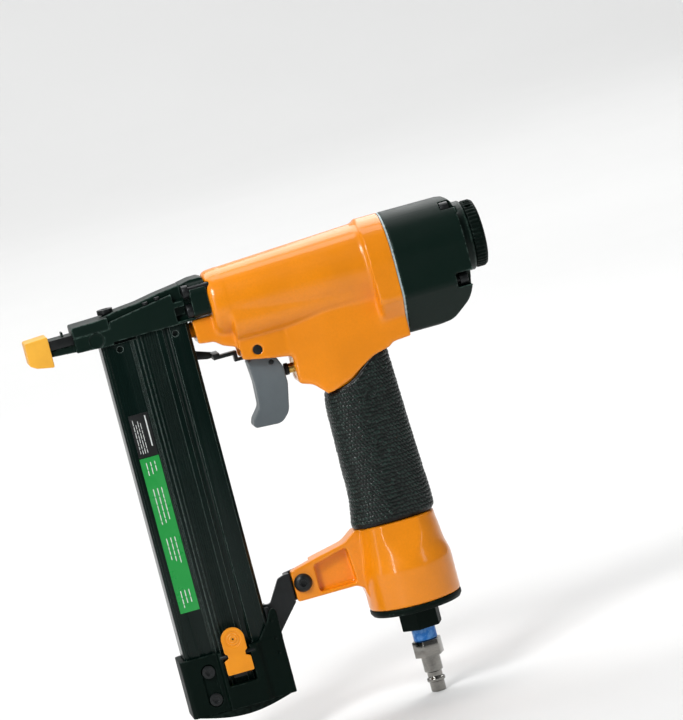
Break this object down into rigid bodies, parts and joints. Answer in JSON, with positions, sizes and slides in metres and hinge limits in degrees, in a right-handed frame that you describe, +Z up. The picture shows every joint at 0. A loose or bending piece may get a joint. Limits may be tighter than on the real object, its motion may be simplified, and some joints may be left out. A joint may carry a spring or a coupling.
{
  "type": "brad nailer",
  "caption": "Pneumatic brad nailer: orange barrel with a rubber-gripped handle, grey trigger, sliding contact trip and a side-strapped magazine with a latched sliding door.",
  "frame": {"origin": "on the drive axis, at the front face of the no-mar tip, where the brads leave", "axes": "+X runs back along the drive axis to the exhaust deflector, +Z is up, and the handle and magazine hang towards -Z"},
  "size_m": [0.2472, 0.0494, 0.253],
  "materials": {
    "orange_paint": "satin enamel over cast magnesium",
    "dark_paint": "semi-gloss dark green-black enamel",
    "black_steel": "black oxide",
    "bright_steel": "ground and polished",
    "nickel": "nickel plate",
    "brass": "turned brass",
    "anodised": "dark anodised extrusion",
    "aluminium": "turned",
    "grip_rubber": "pebble-grained soft rubber",
    "seal_rubber": "smooth nitrile",
    "gasket": "fibre gasket",
    "trigger_plastic": "moulded grey",
    "black_plastic": "moulded, fine texture",
    "tip_plastic": "soft light orange urethane",
    "latch_plastic": "moulded orange",
    "green_label": "laminated label",
    "black_label": "laminated label",
    "thread_tape": "blue thread sealant"
  },
  "bodies": {
    "root": {"housing": "orange_paint", "cylinder_cap": "dark_paint", "cap_gasket": "gasket", "cap_screws": "black_steel", "cylinder_sleeve": "aluminium", "cylinder_seals": "seal_rubber", "piston_bumper": "seal_rubber", "head_valve_spring": "bright_steel", "deflector_screw": "bright_steel", "nose_body": "dark_paint", "nose_cover": "dark_paint", "nose_cover_screws": "black_steel", "nose_bolts": "black_steel", "contact_trip_spring": "bright_steel", "trigger_pin": "black_steel", "valve_bush": "brass", "valve_seals": "seal_rubber", "valve_spring": "bright_steel", "grip_sleeve": "grip_rubber", "handle_end_cap": "black_plastic", "end_cap_seal": "seal_rubber", "thread_seal": "thread_tape", "air_plug": "nickel", "magazine_rail": "anodised", "rail_screw": "bright_steel", "latch_strike": "black_steel", "magazine_strap": "black_steel", "strap_rivets": "bright_steel", "bracket_screw": "black_steel", "bracket_nut": "bright_steel"},
    "exhaust_deflector": {"exhaust_deflector": "black_plastic"},
    "head_valve": {"head_valve": "aluminium", "head_valve_seal": "seal_rubber"},
    "piston": {"piston": "aluminium", "piston_ring": "seal_rubber", "driver_blade": "bright_steel"},
    "contact_trip": {"contact_foot": "black_steel", "contact_arm": "black_steel", "no_mar_tip": "tip_plastic"},
    "trigger": {"trigger": "trigger_plastic", "lever_pin": "black_steel"},
    "trip_lever": {"trip_lever": "bright_steel"},
    "valve_stem": {"valve_stem": "brass", "stem_button": "seal_rubber"},
    "magazine_cover": {"magazine_door": "anodised", "name_label": "black_label", "size_label": "green_label", "pusher_spring": "bright_steel", "magazine_end_cap": "black_plastic", "base_pad": "black_plastic", "end_cap_screws": "black_steel", "latch_pin": "black_steel", "latch_spring": "bright_steel"},
    "latch": {"latch": "latch_plastic"},
    "pusher": {"pusher": "bright_steel", "brad_strip": "brass"}
  },
  "joints": [
    {"name": "deflector_turn", "type": "hinge", "parent": "root", "child": "exhaust_deflector", "pos_m": [0.243, 0, 0], "axis": [1, 0, 0], "continuous": true},
    {"name": "head_valve_slide", "type": "slide", "parent": "root", "child": "head_valve", "axis": [1, 0, 0], "range_m": [0, 0.0035], "stiffness_N_per_m": 800, "springref_m": -0.004, "deforming": ["head_valve_spring"]},
    {"name": "piston_slide", "type": "slide", "parent": "root", "child": "piston", "axis": [-1, 0, 0], "range_m": [0, 0.0815]},
    {"name": "trip_slide", "type": "slide", "parent": "root", "child": "contact_trip", "axis": [1, 0, 0], "range_m": [0, 0.007], "stiffness_N_per_m": 400, "springref_m": -0.008, "deforming": ["contact_trip_spring"]},
    {"name": "trigger_pull", "type": "hinge", "parent": "root", "child": "trigger", "pos_m": [0.1166, 0, -0.0278], "axis": [0, -1, 0], "range_deg": [0, 10], "stiffness_Nm_per_rad": 0.4, "springref_deg": -17.19},
    {"name": "trip_lever_tilt", "type": "hinge", "parent": "trigger", "child": "trip_lever", "pos_m": [0.1224, 0, -0.0364], "axis": [0, 1, 0], "range_deg": [0, 8], "stiffness_Nm_per_rad": 0.02, "springref_deg": -17.19},
    {"name": "valve_stem_slide", "type": "slide", "parent": "root", "child": "valve_stem", "axis": [1, 0, 0], "range_m": [0, 0.0025], "deforming": ["valve_spring"]},
    {"name": "magazine_slide", "type": "slide", "parent": "root", "child": "magazine_cover", "axis": [0, 0, -1], "range_m": [0, 0.11]},
    {"name": "latch_press", "type": "hinge", "parent": "magazine_cover", "child": "latch", "pos_m": [0.0647, -0.0146, -0.1788], "axis": [-1, 0, 0], "range_deg": [0, 8], "stiffness_Nm_per_rad": 0.05, "springref_deg": -17.19, "deforming": ["latch_spring"]},
    {"name": "pusher_slide", "type": "slide", "parent": "magazine_cover", "child": "pusher", "axis": [0, 0, -1], "range_m": [0, 0.11], "stiffness_N_per_m": 30, "springref_m": -0.05, "deforming": ["pusher_spring"]}
  ],
  "couplings": [
    {"joint": "valve_stem_slide", "follows": "trigger_pull", "m_per_rad": 0.01375}
  ]
}
